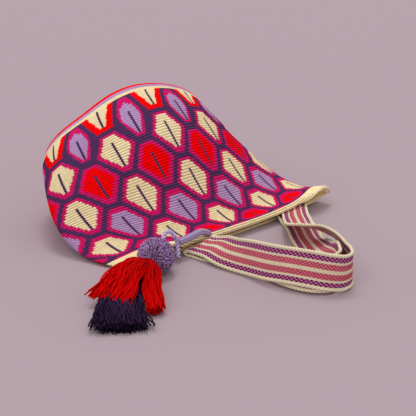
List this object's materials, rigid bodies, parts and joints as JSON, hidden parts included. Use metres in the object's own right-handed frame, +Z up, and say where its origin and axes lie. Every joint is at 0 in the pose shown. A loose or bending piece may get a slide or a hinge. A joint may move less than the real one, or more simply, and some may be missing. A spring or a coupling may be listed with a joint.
{
  "type": "crocheted bucket bag",
  "caption": "Soft crocheted bucket bag on its side, with a woven shoulder strap, drawstring, pompom and tassels.",
  "frame": {"origin": "on the surface the bag lies on, under the middle of its flattened side", "axes": "+Z up from the surface, -Y out of the mouth, +Y towards the round base, X along the flattened mouth"},
  "size_m": [0.4944, 0.4859, 0.178],
  "materials": {
    "cream": "matt cotton yarn",
    "lilac": "matt cotton yarn",
    "red": "matt cotton yarn",
    "magenta": "matt cotton yarn",
    "plum": "matt cotton yarn",
    "violet": "matt woven cotton",
    "crimson": "matt woven cotton",
    "pompom": "cut yarn",
    "cord": "matt cotton yarn",
    "tassel_red": "loose yarn",
    "tassel_dark": "loose yarn"
  },
  "bodies": {
    "root": {"bag_body": "plum", "shoulder_strap": "cream", "drawstring": "cord", "tassel_loop": "cord", "pompom": "pompom", "tassel_red": "tassel_red", "tassel_purple": "tassel_dark"}
  },
  "joints": []
}
